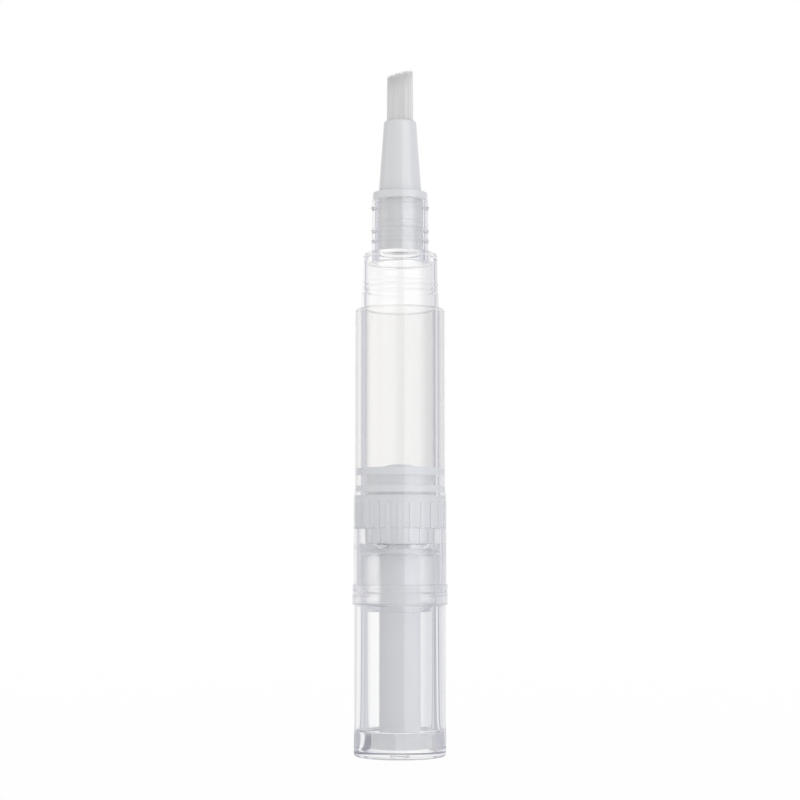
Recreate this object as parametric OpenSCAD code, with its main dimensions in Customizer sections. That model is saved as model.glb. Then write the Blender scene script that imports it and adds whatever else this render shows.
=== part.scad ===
// Twist-up nail oil pen with a brush tip, standing on its twist knob with the cap off.
// The knob turns the drive tube, the tube turns the keyed spindle, and the spindle screws
// up through the fixed nut and pushes the piston towards the brush.

/* [Barrel] */
// Outer diameter of the hazy grip
grip_d = 12.5; // [12:0.1:14]
// Wall of the grip around the oil chamber
grip_wall = 1.5; // [1.2:0.05:1.6]
// Length of the grip, from the collar to the step at the neck
grip_len = 38.5; // [34:0.1:60]
// How far the tail end stands out from the grip, on each side
tail_flare = 0.18; // [0.05:0.01:0.4]
// Wall of the tail around its wide bore
tail_wall = 0.78; // [0.6:0.02:0.9]
// Depth of the wide bore in the tail
tail_bore_len = 7.7; // [7:0.1:7.9]
// Wall of the clear neck that the cap pushes onto
neck_wall = 0.49; // [0.45:0.01:0.8]
// Length of the neck, from the step to the shoulder
neck_len = 7.9; // [7:0.1:12]
// How far the neck's thicker foot stands out
seat_lip = 0.16; // [0.05:0.01:0.2]
// How far the two cap beads stand out from the neck
cap_bead = 0.2; // [0.1:0.02:0.2]
// Thickness of the shoulder above the chamber
shoulder_wall = 1.5; // [1:0.1:2.5]
// Bore of the spout that holds the brush head's plug
spout_bore_d = 6.3; // [6:0.1:7]
// Wall of the spout
spout_wall = 0.8; // [0.6:0.05:1]
// Length of the spout
spout_len = 7.2; // [6:0.1:10]

/* [Twist knob and collar] */
// Height of the knob that the pen stands on
knob_h = 20.6; // [16:0.1:26]
// How far the knob's side lies inside the collar's rim
knob_inset = 0.25; // [0.1:0.05:0.4]
// Wall of the knob around its bore
knob_wall = 1.67; // [1.5:0.01:1.8]
// Solid floor under the hex socket
knob_floor = 1.1; // [0.8:0.1:2]
// Rounding of the knob's bottom edge
knob_round = 0.4; // [0.2:0.05:0.6]
// Height of the collar's visible rim
collar_h = 2.8; // [2:0.1:4]
// How far the rim stands out from the tail of the barrel
collar_lip = 0.17; // [0.05:0.01:0.4]
// Length of the collar's spigot inside the barrel
spigot_len = 4.3; // [3:0.1:4.6]
// Gap between the knob and the collar
turn_gap = 0.1; // [0.05:0.05:0.3]

/* [Click crown and spring] */
// Number of crown teeth, one click for each
crown_teeth = 12; // [9:3:15]
// Height of the crown teeth
tooth_h = 0.75; // [0.5:0.05:0.8]
// Thickness of the click spring
spring_t = 0.5; // [0.4:0.05:0.55]

/* [Drive tube] */
// Outer diameter of the drive tube
tube_d = 5.72; // [5.4:0.02:6]
// Wall of the drive tube around the spindle
tube_wall = 0.66; // [0.5:0.02:0.7]
// Width of the hex foot across its corners
hex_d = 5.9; // [5.4:0.1:6.4]
// Height of the hex foot
hex_h = 2.3; // [1.8:0.1:3]

/* [Spindle and nut] */
// Width of the spindle across its two flats
flats_w = 2.9; // [2.6:0.1:3]
// Depth of the spindle's thread
thread_depth = 0.5; // [0.4:0.05:0.55]
// Rise of the thread in one turn
lead = 1.5; // [1.2:0.1:2]
// Clearance of the nut's thread around the spindle's
thread_gap = 0.16; // [0.15:0.01:0.2]
// Length of the nut
nut_len = 6.6; // [6:0.1:8]
// Length of the thread inside the nut
nut_thread_len = 2.2; // [1.8:0.1:2.6]
// Number of ribs around the nut
nut_ribs = 20; // [16:1:24]
// How far the ribs stand out from the nut
rib_h = 0.26; // [0.15:0.01:0.3]

/* [Piston] */
// Height of the piston between its two lips
piston_h = 2.8; // [2.4:0.1:4]
// Height of the piston's domed top
dome_h = 1.05; // [0.6:0.05:2]

/* [Brush head] */
// Height of the nozzle's flange on the spout
flange_h = 1.1; // [0.8:0.1:1.6]
// Length of the nozzle's cone
cone_len = 10.2; // [8:0.1:14]
// Diameter of the cone at its foot
cone_foot_d = 6.1; // [5.6:0.1:6.6]
// Diameter of the cone at its tip
cone_tip_d = 4.6; // [4.4:0.1:5]
// Diameter of the hole for the tuft
tuft_hole_d = 3.8; // [3.6:0.05:3.9]
// Free length of the tuft on its long side
tuft_len = 7.3; // [6:0.1:9]
// Slant of the cut across the tuft's end, in degrees
cut_slant = 16.5; // [0:0.5:25]
// Thickness of one strand
strand_w = 0.12; // [0.1:0.01:0.14]
// Distance between neighbouring strands
strand_pitch = 0.175; // [0.17:0.005:0.19]
// Outer diameter of the feed tube
feed_d = 3.2; // [2.8:0.05:3.3]
// Bore of the feed tube
feed_bore_d = 1.6; // [1.2:0.05:2]

/* [Hidden] */
$fn = 64;

// Clearances and the overrun of a cut
over = 0.5;
press_gap = 0.02;
slide_gap = 0.02;
run_gap = 0.08;
seal_gap = 0.01;
plug_gap = 0.15;
axial_gap = 0.1;

// Radii of the barrel
grip_r = grip_d / 2;
bore_r = grip_r - grip_wall;
tail_r = grip_r + tail_flare;
tail_bore_r = tail_r - tail_wall;
neck_r = bore_r + neck_wall;
seat_r = neck_r + seat_lip;
spout_bore_r = spout_bore_d / 2;
spout_r = spout_bore_r + spout_wall;

// Radii of the knob and the collar
collar_r = tail_r + collar_lip;
knob_r = collar_r - knob_inset;
knob_bore_r = knob_r - knob_wall;
hub_r = knob_bore_r - run_gap;
spigot_r = tail_bore_r - press_gap;
hub_len = 0.9;

// Heights along the pen, from the table up
knob_bore_z = knob_floor + hex_h;
collar_z = knob_h + turn_gap;
barrel_z = collar_z + collar_h;
neck_z = barrel_z + grip_len;
shoulder_z = neck_z + neck_len;
chamber_top_z = shoulder_z - shoulder_wall;
spout_top_z = shoulder_z + spout_len;
cone_z = spout_top_z + flange_h;
cone_top_z = cone_z + cone_len;
tip_z = cone_top_z + tuft_len;

// Gate mark under the knob, and how far the hex is turned from the front
gate_r = 0.9;
gate_depth = 0.3;
hex_turn = -99;

// The tail's bore, and the flare outside it
flare_up = 11.8;
tail_step_z = barrel_z + tail_bore_len;
tail_cone_z = tail_step_z + tail_bore_r - bore_r;
flare_z = barrel_z + flare_up;
flare_len = 1.7;
grip_round = 0.35;
neck_round = 0.6;

// Beads around the neck and the spout: distance from the step or shoulder, and half width
cap_bead_places = [2.6, 3.4];
bead_half = 0.22;
bead_share = 0.75;
seat_len = 2.1;
seat_ramp = 0.3;
spout_bead_places = [1.7, 3.1, 6.5];
spout_bead_heights = [0.15, 0.15, 0.25];

// Crown teeth on top of the collar's spigot
crown_wall = 0.85;
crown_base = 0.55;
crown_sink = 0.2;
wedge_in_share = 0.92;
crown_phase = 4;
crown_in_r = spigot_r - crown_wall;
wedge_in_r = crown_in_r * wedge_in_share;
spigot_top_z = barrel_z + spigot_len;
crown_root_z = spigot_top_z + crown_base;
crown_top_z = crown_root_z + tooth_h;
crown_pitch = 2 * PI * spigot_r / crown_teeth;
valley_rise = tooth_h * (1 - 2 * crown_in_r * sin(180 / crown_teeth) / crown_pitch);

// Grooves that show as lines around the collar's rim
rim_groove_share = 0.62;
rim_groove_w = 0.3;
rim_groove_d = 0.12;
rim_chamfer = 0.15;

// Nut in the tail of the barrel
nut_gap = 0.05;
nut_lift = 0.2;
nut_r = bore_r - nut_gap;
nut_z = crown_top_z + nut_lift;
nut_top_z = nut_z + nut_len;
nut_thread_z = nut_top_z - nut_thread_len;
nut_cap_h = 1.1;
rib_top_z = nut_top_z - nut_cap_h;
rib_w = 0.5;
rib_gap = 0.03;
skirt_wall = 0.8;
skirt_r = nut_r - skirt_wall;

// Drive tube: hex foot, long tube, flange over the collar and keyed head inside the nut
flange_inset = 0.5;
head_gap = 0.3;
head_flat_cut = 0.4;
head_top_gap = 0.25;
tube_r = tube_d / 2;
tube_bore_r = tube_r - tube_wall;
collar_bore_r = tube_r + run_gap;
drive_flange_r = crown_in_r - flange_inset;
drive_flange_z = spigot_top_z + axial_gap;
drive_flange_h = 0.55;
drive_seat_z = drive_flange_z + drive_flange_h;
head_r = skirt_r - head_gap;
head_flat_w = 2 * (head_r - head_flat_cut);
head_top_z = nut_thread_z - head_top_gap;

// Spindle: threaded rod with two flats, and a snap head in the piston
piston_lift = 0.3;
thread_r = tube_bore_r - axial_gap;
core_r = thread_r - thread_depth;
key_w = flats_w + 2 * run_gap;
spindle_z = knob_bore_z + 2 * axial_gap;
piston_z = nut_top_z + piston_lift;
thread_top_z = piston_z - axial_gap;
snap_neck_r = 1;
snap_head_r = 1.45;
snap_neck_len = 1.1;
snap_head_len = 1.3;
snap_gap = 0.1;
crest_share = 0.25;
flank_share = 0.2;
slices_per_turn = 12;

// Piston: two sealing lips, a waist between them and a domed top
waist_depth = 0.4;
lip_r = bore_r - slide_gap;
waist_r = bore_r - waist_depth;
lip_h = 0.4;
lip_ramp_share = 1.5;
dome_flat_share = 0.45;

// Click spring between the drive tube's flange and the nut
spring_arms = 3;
arm_w = 0.4;
arm_gap = 0.12;
arm_sweep = 78;
arm_lap = 2;
spring_hub_r = drive_flange_r - arm_gap;
arm_out_r = crown_in_r - arm_gap;
arm_in_r = arm_out_r - arm_w;
arm_mid_r = arm_out_r - arm_w / 2;
finger_w = 0.7;
finger_inset = 0.2;
finger_gap = 0.04;
finger_out_r = spigot_r - finger_inset;
spring_hub_in_r = head_r + press_gap;

// Brush head: plug with sealing rings, channel, tuft hole and tuft
plug_r = spout_bore_r - plug_gap;
seal_r = spout_bore_r - seal_gap;
seal_places = [1.4, 2.3, 3.2, 4.1];
flange_r = spout_r - axial_gap;
cone_round = 0.3;
plug_end_z = shoulder_z - axial_gap;
channel_r = feed_d / 2 + press_gap;
tuft_hole_r = tuft_hole_d / 2;
tuft_hole_depth = 6;
tuft_seat_z = cone_top_z - tuft_hole_depth;
backing_h = 1.4;
feed_inset = 0.8;
backing_bore_r = 0.5;
tuft_r = tuft_hole_r - press_gap;
feed_z = plug_end_z + feed_inset;

// A ring of points on a circle, from one angle to another
function arc(x, y, r, a0, a1, steps = 5) =
    [for (i = [0 : steps]) let(a = a0 + (a1 - a0) * i / steps) [x + r * cos(a), y + r * sin(a)]];

// Turns a closed outline of radius and height around the pen's axis
module turned(points) {
    rotate_extrude() polygon(points);
}

// Round rod between two heights
module rod(r, z0, z1) {
    translate([0, 0, z0]) cylinder(r = r, h = z1 - z0);
}

// Small rounded bead around a cylinder
module bead(r, z, height, half) {
    side_r = r + height * bead_share;
    turned([[r - height, z - half], [r, z - half], [side_r, z - half / 2], [r + height, z],
            [side_r, z + half / 2], [r, z + half], [r - height, z + half]]);
}

// Bar of a given width across the whole part between two heights
module slab(width, length, z0, z1) {
    translate([-width / 2, -length / 2, z0]) cube([width, length, z1 - z0]);
}

// Ribs that stand out around a cylinder
module ribs(count, r_in, r_out, width, z0, z1) {
    for (i = [0 : count - 1])
        rotate([0, 0, i * 360 / count])
            translate([r_in, -width / 2, z0])
                cube([r_out - r_in, width, z1 - z0]);
}

// Outline of a one-start thread: crest, flank, root and flank around one turn
function thread_radius(t, r_core, r_crest) =
    t < crest_share ? r_crest
    : t < crest_share + flank_share
        ? r_crest + (r_core - r_crest) * (t - crest_share) / flank_share
    : t < 1 - flank_share ? r_core
    : r_core + (r_crest - r_core) * (t - 1 + flank_share) / flank_share;

// Shares of the turn at which the outline has a point, as its corners and some between
function thread_shares() =
    let(root_share = 1 - crest_share - 2 * flank_share)
    concat([for (i = [0 : 3]) crest_share * i / 4],
           [for (i = [0 : 1]) crest_share + flank_share * i / 2],
           [for (i = [0 : 4]) crest_share + flank_share + root_share * i / 5],
           [for (i = [0 : 1]) 1 - flank_share + flank_share * i / 2]);

// Thread between two heights, in step with every other thread on the axis
module thread(r_core, r_crest, z0, z1) {
    turns = (z1 - z0) / lead;
    outline = [for (t = thread_shares())
        thread_radius(t, r_core, r_crest) * [cos(360 * t), sin(360 * t)]];
    translate([0, 0, z0])
        rotate([0, 0, 360 * z0 / lead])
            linear_extrude(height = z1 - z0, twist = -360 * turns,
                           slices = ceil(turns * slices_per_turn), segments = len(outline))
                polygon(outline);
}

module barrel() {
    color([0.93, 0.92, 0.89, 0.5])
    difference() {
        union() {
            turned(concat(
                [[tail_bore_r, barrel_z], [tail_r, barrel_z], [tail_r, flare_z],
                 [grip_r, flare_z + flare_len]],
                arc(grip_r - grip_round, neck_z - grip_round, grip_round, 0, 90),
                [[seat_r, neck_z], [seat_r, neck_z + seat_len],
                 [neck_r, neck_z + seat_len + seat_ramp]],
                arc(neck_r - neck_round, shoulder_z - neck_round, neck_round, 0, 90),
                [[spout_r, shoulder_z], [spout_r, spout_top_z],
                 [spout_bore_r, spout_top_z], [spout_bore_r, chamber_top_z],
                 [bore_r, chamber_top_z], [bore_r, tail_cone_z],
                 [tail_bore_r, tail_step_z]]));
            for (place = cap_bead_places)
                bead(neck_r, neck_z + place, cap_bead, bead_half);
            for (i = [0 : len(spout_bead_places) - 1])
                bead(spout_r, shoulder_z + spout_bead_places[i], spout_bead_heights[i], bead_half);
        }
        ribs(nut_ribs, bore_r - over, nut_r + rib_h + rib_gap, rib_w + 2 * rib_gap,
             tail_step_z - over, rib_top_z + axial_gap);
    }
}

// Collar pressed into the barrel's tail, with its crown of click teeth inside
module collar() {
    groove_z = collar_z + collar_h * rim_groove_share;
    color([0.86, 0.87, 0.89, 0.5])
    difference() {
        union() {
            turned([[0, collar_z - hub_len], [hub_r, collar_z - hub_len], [hub_r, collar_z],
                    [collar_r - rim_chamfer, collar_z], [collar_r, collar_z + rim_chamfer],
                    [collar_r, groove_z - rim_groove_w / 2], [collar_r - rim_groove_d, groove_z],
                    [collar_r, groove_z + rim_groove_w / 2], [collar_r, barrel_z - rim_chamfer],
                    [collar_r - rim_chamfer, barrel_z], [spigot_r, barrel_z],
                    [spigot_r, crown_root_z], [crown_in_r, crown_root_z],
                    [crown_in_r, spigot_top_z], [0, spigot_top_z]]);
            intersection() {
                difference() {
                    rod(spigot_r, crown_root_z - crown_sink, crown_top_z);
                    rod(crown_in_r, crown_root_z - crown_sink - over, crown_top_z + over);
                }
                crown_wedges();
            }
        }
        rod(collar_bore_r, collar_z - hub_len - over, spigot_top_z + over);
    }
}

// Ring of wedges whose valleys the spring's fingers rest in
module crown_wedges() {
    for (i = [0 : crown_teeth - 1])
        rotate([0, 0, crown_phase + (i + 0.5) * 360 / crown_teeth])
            translate([wedge_in_r, 0, crown_root_z])
                rotate([90, 0, 90])
                    linear_extrude(height = spigot_r + over - wedge_in_r)
                        polygon([[-crown_pitch / 2, 0], [-crown_pitch / 2, -crown_sink - over],
                                 [crown_pitch / 2, -crown_sink - over], [crown_pitch / 2, 0],
                                 [0, tooth_h]]);
}

module thread_nut() {
    color([0.72, 0.73, 0.75])
    difference() {
        union() {
            rod(nut_r, nut_z, nut_top_z);
            ribs(nut_ribs, nut_r - over, nut_r + rib_h, rib_w, nut_z, rib_top_z);
        }
        rod(skirt_r, nut_z - over, nut_thread_z);
        thread(core_r + thread_gap, thread_r + thread_gap,
               nut_thread_z - over, nut_top_z + over);
    }
}

module knob() {
    color([0.84, 0.86, 0.89, 0.5])
    difference() {
        turned(concat([[0, 0]],
                      arc(knob_r - knob_round, knob_round, knob_round, -90, 0),
                      [[knob_r, knob_h], [0, knob_h]]));
        rod(knob_bore_r, knob_bore_z, knob_h + over);
        translate([0, 0, knob_floor])
            rotate([0, 0, hex_turn])
                cylinder(r = hex_d / 2 + press_gap, h = hex_h + over, $fn = 6);
        rod(gate_r, -over, gate_depth);
    }
}

module drive_tube() {
    color([0.78, 0.79, 0.8])
    difference() {
        union() {
            translate([0, 0, knob_floor])
                rotate([0, 0, hex_turn])
                    cylinder(r = hex_d / 2, h = hex_h, $fn = 6);
            rod(tube_r, knob_bore_z, drive_flange_z);
            rod(tube_bore_r, knob_floor, drive_flange_z);
            rod(drive_flange_r, drive_flange_z, drive_seat_z);
            intersection() {
                rod(head_r, drive_seat_z, head_top_z);
                slab(head_flat_w, 2 * skirt_r, drive_seat_z, head_top_z);
            }
        }
        rod(tube_bore_r, knob_bore_z + axial_gap, drive_flange_z);
        intersection() {
            rod(tube_bore_r, drive_flange_z, head_top_z + over);
            rotate([0, 0, 90])
                slab(key_w, 2 * tube_r, drive_flange_z, head_top_z + over);
        }
    }
}

// Star spring: hub keyed on the drive tube's head, and arms whose fingers click in the crown
module click_spring() {
    color([0.66, 0.67, 0.7])
    translate([0, 0, drive_seat_z]) {
        difference() {
            union() {
                cylinder(r = spring_hub_r, h = spring_t);
                for (i = [0 : spring_arms - 1])
                    rotate([0, 0, crown_phase + i * 360 / spring_arms]) spring_arm();
            }
            intersection() {
                rod(spring_hub_in_r, -over, spring_t + over);
                slab(head_flat_w + 2 * press_gap, 2 * spring_hub_r, -over, spring_t + over);
            }
        }
    }
}

// One arm: a curved strip from its root on the hub to a finger in a valley of the crown
module spring_arm() {
    slope = tooth_h / (crown_pitch / 2);
    foot_z = crown_root_z + valley_rise + finger_gap - drive_seat_z;
    side_z = foot_z + finger_w / 2 * slope;
    rotate([0, 0, -arm_sweep])
        rotate_extrude(angle = arm_sweep + arm_lap)
            translate([arm_in_r, 0]) square([arm_w, spring_t]);
    rotate([0, 0, -arm_sweep])
        translate([spring_hub_r - arm_gap, arm_gap, 0])
            cube([arm_mid_r - spring_hub_r + arm_gap, finger_w, spring_t]);
    translate([arm_mid_r, 0, 0])
        rotate([90, 0, 90])
            linear_extrude(height = finger_out_r - arm_mid_r)
                polygon([[-finger_w / 2, side_z], [-finger_w / 2, spring_t],
                         [finger_w / 2, spring_t], [finger_w / 2, side_z], [0, foot_z]]);
}

module spindle() {
    neck_foot_z = thread_top_z - over;
    neck_top_z = thread_top_z + snap_neck_len;
    color([0.8, 0.8, 0.82])
    union() {
        intersection() {
            thread(core_r, thread_r, spindle_z, thread_top_z);
            rotate([0, 0, 90]) slab(flats_w, 2 * thread_r + over, spindle_z, thread_top_z);
        }
        turned([[0, neck_foot_z], [snap_neck_r, neck_foot_z], [snap_neck_r, neck_top_z],
                [snap_head_r, neck_top_z], [snap_head_r, neck_top_z + snap_head_len / 3],
                [snap_neck_r, neck_top_z + snap_head_len], [0, neck_top_z + snap_head_len]]);
    }
}

module piston() {
    piston_top_z = piston_z + piston_h;
    socket_z = thread_top_z + snap_neck_len - snap_gap;
    socket_top_z = thread_top_z + snap_neck_len + snap_head_len + snap_gap;
    color([0.82, 0.83, 0.85])
    difference() {
        turned([[0, piston_z], [waist_r, piston_z], [lip_r, piston_z],
                [lip_r, piston_z + lip_h / 2], [waist_r, piston_z + lip_h * lip_ramp_share],
                [waist_r, piston_top_z - lip_h * lip_ramp_share], [lip_r, piston_top_z - lip_h / 2],
                [lip_r, piston_top_z], [waist_r, piston_top_z],
                [bore_r * dome_flat_share, piston_top_z + dome_h], [0, piston_top_z + dome_h]]);
        rod(snap_neck_r + snap_gap, piston_z - over, socket_z + over);
        rod(snap_head_r + snap_gap, socket_z, socket_top_z);
    }
}

module nozzle() {
    tip_r = cone_tip_d / 2;
    color([0.88, 0.88, 0.89])
    difference() {
        union() {
            turned(concat(
                [[0, plug_end_z], [plug_r, plug_end_z], [plug_r, spout_top_z],
                 [flange_r, spout_top_z], [flange_r, cone_z], [cone_foot_d / 2, cone_z]],
                arc(tip_r - cone_round, cone_top_z - cone_round, cone_round, 0, 90),
                [[0, cone_top_z]]));
            for (place = seal_places)
                bead(plug_r, plug_end_z + place, seal_r - plug_r, bead_half);
        }
        rod(channel_r, plug_end_z - over, tuft_seat_z + over);
        rod(tuft_hole_r, tuft_seat_z, cone_top_z + over);
    }
}

module feed_tube() {
    color([0.9, 0.9, 0.92])
    difference() {
        rod(feed_d / 2, feed_z, tuft_seat_z);
        rod(feed_bore_d / 2, feed_z - over, tuft_seat_z + over);
    }
}

// Places of the strands on a hexagonal grid, inside the tuft and around its oil hole
function strand_places() =
    let(rows = ceil(tuft_r / (strand_pitch * sin(60))), cols = ceil(tuft_r / strand_pitch) + 1)
    [for (row = [-rows : rows], col = [-cols : cols])
        let(x = (col + (row % 2 == 0 ? 0 : 0.5)) * strand_pitch,
            y = row * strand_pitch * sin(60), r = norm([x, y]))
        if (r < tuft_r - strand_w && r > backing_bore_r + strand_w) [x, y]];

// Tuft fused to its backing disc and cut on a slant, as wide as the hole that holds it
module bristles() {
    color([0.83, 0.83, 0.84])
    translate([0, 0, tuft_seat_z])
        resize([2 * tuft_r, 2 * tuft_r, 0])
            difference() {
                union() {
                    difference() {
                        cylinder(r = tuft_r, h = backing_h, $fn = 48);
                        translate([0, 0, -over])
                            cylinder(r = backing_bore_r, h = backing_h + 2 * over, $fn = 24);
                    }
                    translate([0, 0, backing_h - strand_w])
                        linear_extrude(height = tip_z - tuft_seat_z)
                            for (place = strand_places())
                                translate(place) rotate(45) circle(d = strand_w * sqrt(2), $fn = 4);
                }
                translate([tuft_r, 0, tip_z - tuft_seat_z])
                    rotate([0, -cut_slant, 0])
                        translate([-4 * tuft_r, -2 * tuft_r, 0])
                            cube([8 * tuft_r, 4 * tuft_r, 2 * tip_z]);
            }
}

barrel();
collar();
thread_nut();
knob();
drive_tube();
click_spring();
spindle();
piston();
nozzle();
feed_tube();
bristles();
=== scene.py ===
# %% [markdown]
# # A nail oil pen in clear and milky plastic
# This lesson dresses a twist-up pen that stands on its knob with its brush in the air. The solid
# model gives its heights and its moving bodies. Here most pieces are turned again as smooth
# shapes, because light bends through clear plastic and would show every flat facet, and each
# piece gets a finish that looks like its real plastic.

# %% Load the fixed frame
import math
import random

import bpy
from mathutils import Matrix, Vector


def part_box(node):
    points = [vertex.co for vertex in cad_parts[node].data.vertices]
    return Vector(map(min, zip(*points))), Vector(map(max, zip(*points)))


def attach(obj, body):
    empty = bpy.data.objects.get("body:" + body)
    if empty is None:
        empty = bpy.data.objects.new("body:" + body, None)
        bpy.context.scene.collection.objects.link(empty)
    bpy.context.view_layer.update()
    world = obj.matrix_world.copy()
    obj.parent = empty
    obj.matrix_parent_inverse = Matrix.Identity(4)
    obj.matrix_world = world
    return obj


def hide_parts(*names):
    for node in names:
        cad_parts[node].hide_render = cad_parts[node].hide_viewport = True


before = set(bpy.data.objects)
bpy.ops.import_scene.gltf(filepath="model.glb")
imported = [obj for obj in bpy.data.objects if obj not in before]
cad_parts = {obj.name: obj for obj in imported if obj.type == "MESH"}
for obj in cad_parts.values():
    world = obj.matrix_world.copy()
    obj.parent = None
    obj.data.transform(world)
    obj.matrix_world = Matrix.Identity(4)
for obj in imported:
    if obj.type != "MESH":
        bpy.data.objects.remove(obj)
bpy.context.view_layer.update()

# %% [markdown]
# ## The camera
# The eye is low, level with the crown under the nut, and close enough that the rings of the pen
# curve upwards above it and downwards below it. A long lens at 27.5 cm frames the pen with white
# all round it.

# %% Camera
MM = 0.001
EYE = Vector((0, -275 * MM, 28.3 * MM))
PITCH_UP = math.radians(4.324)
LENS, SENSOR = 89, 36

camera_data = bpy.data.cameras.new("studio_camera")
camera_data.lens = LENS
camera_data.sensor_width = SENSOR
camera_data.clip_start = 10 * MM
camera = bpy.data.objects.new("studio_camera", camera_data)
bpy.context.scene.collection.objects.link(camera)
camera.location = EYE
camera.rotation_euler = (math.radians(90) + PITCH_UP, 0, 0)
bpy.context.scene.camera = camera
bpy.context.scene.view_settings.view_transform = "Standard"
print("the camera stands at", [round(v / MM, 1) for v in EYE], "mm")

# %% [markdown]
# ## Turning a piece as on a lathe
# Almost every piece of the pen is round, so one helper does what a lathe does. It takes a plane
# down to one point, pushes that point along the outline by extruding it, and spins the line
# round the axis. Moulded plastic has no perfectly sharp edge, so most corners of the outline are
# eased with small arcs first. Those arcs catch the thin bright lines that make plastic look
# moulded.

# %% Helpers for the outline
TINY = 1e-6
NEARLY_STRAIGHT = math.radians(80)
MOST_OF_SIDE = 0.42


def deselect():
    """Leaves nothing selected, since an operator acts on all that is."""
    bpy.ops.object.select_all(action="DESELECT")


def only(piece):
    """Selects one piece alone and makes it the active one."""
    deselect()
    piece.select_set(True)
    bpy.context.view_layer.objects.active = piece


def arc(x, z, radius, start, end, steps=8):
    """Points of an arc about (x, z), in mm, between two angles in degrees."""
    turn = [math.radians(start + (end - start) * i / steps) for i in range(steps + 1)]
    return [(x + radius * math.cos(a), z + radius * math.sin(a)) for a in turn]


def eased(points, radius, steps):
    """The closed outline with each corner off the axis rounded by a small arc."""
    out = []
    count = len(points)
    for i, here in enumerate(points):
        before, after = points[i - 1], points[(i + 1) % count]
        p, a, b = Vector(here), Vector(before), Vector(after)
        if here[0] < TINY or (a - p).length < TINY or (b - p).length < TINY:
            out.append(tuple(here))
            continue
        to_a, to_b = (a - p).normalized(), (b - p).normalized()
        half = to_a.angle(to_b) / 2
        if half > NEARLY_STRAIGHT:
            out.append(tuple(here))
            continue
        most = MOST_OF_SIDE * min((a - p).length, (b - p).length)
        cut = min(radius / math.tan(half), most)
        start, end = p + to_a * cut, p + to_b * cut
        for k in range(steps + 1):
            t = k / steps
            out.append(tuple(start * (1 - t) ** 2 + p * 2 * t * (1 - t) + end * t ** 2))
    return out


# %% [markdown]
# A smooth face shares its corners' normals with its neighbours, so a long straight wall next to a
# small arc would be shaded as if it were bowed, and would bend the light that passes it. A second
# point just before each end of a long stretch keeps that bend out of the wall.

# %% The lathe
STEPS, HOLD = 192, 0.05
MERGE = 0.0008 * MM
SMOOTH = math.radians(32)


def held(points):
    """The outline with a point just inside both ends of each long straight stretch."""
    out = []
    for a, b in zip(points, points[1:] + points[:1]):
        out.append(tuple(a))
        a, b = Vector(a), Vector(b)
        reach = (b - a).length
        if reach > 4 * HOLD and max(a[0], b[0]) > TINY:
            out.append(tuple(a.lerp(b, HOLD / reach)))
            out.append(tuple(b.lerp(a, HOLD / reach)))
    return out


def turned(name, points, steps=STEPS, start=0.0):
    """Spins a closed outline of (radius, height), in mm, round the axis from an angle in degrees."""
    deselect()
    bpy.ops.mesh.primitive_plane_add(size=MM, location=(0, 0, 0))
    piece = bpy.context.object
    piece.name = piece.data.name = name
    bpy.ops.object.mode_set(mode="EDIT")
    bpy.ops.mesh.select_mode(type="VERT")
    bpy.ops.mesh.select_all(action="SELECT")
    bpy.ops.mesh.merge(type="CENTER")
    c, s = math.cos(math.radians(start)), math.sin(math.radians(start))
    on_axis = points[0][0] < TINY and points[-1][0] < TINY
    path = [Vector((r * c * MM, r * s * MM, z * MM)) for r, z in held(points)]
    bpy.ops.transform.translate(value=path[0])
    stops = path if on_axis else path + [path[0]]
    for a, b in zip(stops, stops[1:]):
        bpy.ops.mesh.extrude_region_move(TRANSFORM_OT_translate={"value": b - a})
    bpy.ops.mesh.select_all(action="SELECT")
    bpy.ops.mesh.spin(steps=steps, angle=2 * math.pi, center=(0, 0, 0), axis=(0, 0, 1))
    bpy.ops.mesh.select_all(action="SELECT")
    bpy.ops.mesh.remove_doubles(threshold=MERGE)
    bpy.ops.mesh.normals_make_consistent(inside=False)
    bpy.ops.object.mode_set(mode="OBJECT")
    bpy.ops.object.shade_smooth_by_angle(angle=SMOOTH)
    print(name, "has", len(piece.data.polygons), "faces")
    return piece


def bead(r, z, height, half, steps=6):
    """Points of a rounded ring that stands out from a wall at radius r."""
    return [(r + height * math.sin(math.pi * k / steps), z - half + 2 * half * k / steps)
            for k in range(steps + 1)]


def beads(r, foot, rings):
    """Rounded rings up a wall, each as its height over the foot, its rise and half its width."""
    out = []
    for up, rise, half in rings:
        out += bead(r, foot + up, rise, half)
    return out


# %% [markdown]
# ## The main sizes
# The clear pieces fit into each other with gaps of a tenth of a millimetre or less. The heights
# are worked out from the boxes of the solids, and the main radii and lengths are written once
# here, in mm, so that a piece always meets its neighbour.

# %% Main sizes
def low(node):
    """Lowest height of a solid, in mm."""
    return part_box(node)[0][2] / MM


def high(node):
    """Highest height of a solid, in mm."""
    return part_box(node)[1][2] / MM


GRIP_R, TAIL_R, COLLAR_R = 6.25, 6.43, 6.6
BORE_R, TAIL_BORE_R = 4.75, 5.65
NECK_R, SEAT_R = 5.24, 5.4
SPOUT_BORE_R, SPOUT_R = 3.15, 3.95
KNOB_R, KNOB_BORE_R = 6.35, 4.68
TAIL_LEN, TAIL_BORE_LEN, NECK_LEN, ROOF = 11.8, 7.7, 7.9, 1.5
NUT_RIM, FLANGE_H, GAP = 1.1, 1.1, 0.1
KNOB_TOP = high("knob")
COLLAR_Z = KNOB_TOP + GAP
BARREL_Z, SPOUT_TOP_Z = low("barrel"), high("barrel")
FLARE_Z, TAIL_STEP_Z = BARREL_Z + TAIL_LEN, BARREL_Z + TAIL_BORE_LEN
SHOULDER_Z = low("nozzle") - GAP
CHAMBER_TOP_Z, NECK_Z = SHOULDER_Z - ROOF, SHOULDER_Z - NECK_LEN
NUT_Z, NUT_TOP_Z = low("thread_nut"), high("thread_nut")
RIB_TOP_Z = NUT_TOP_Z - NUT_RIM
CONE_Z, CONE_TOP_Z = SPOUT_TOP_Z + FLANGE_H, high("nozzle")
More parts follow.
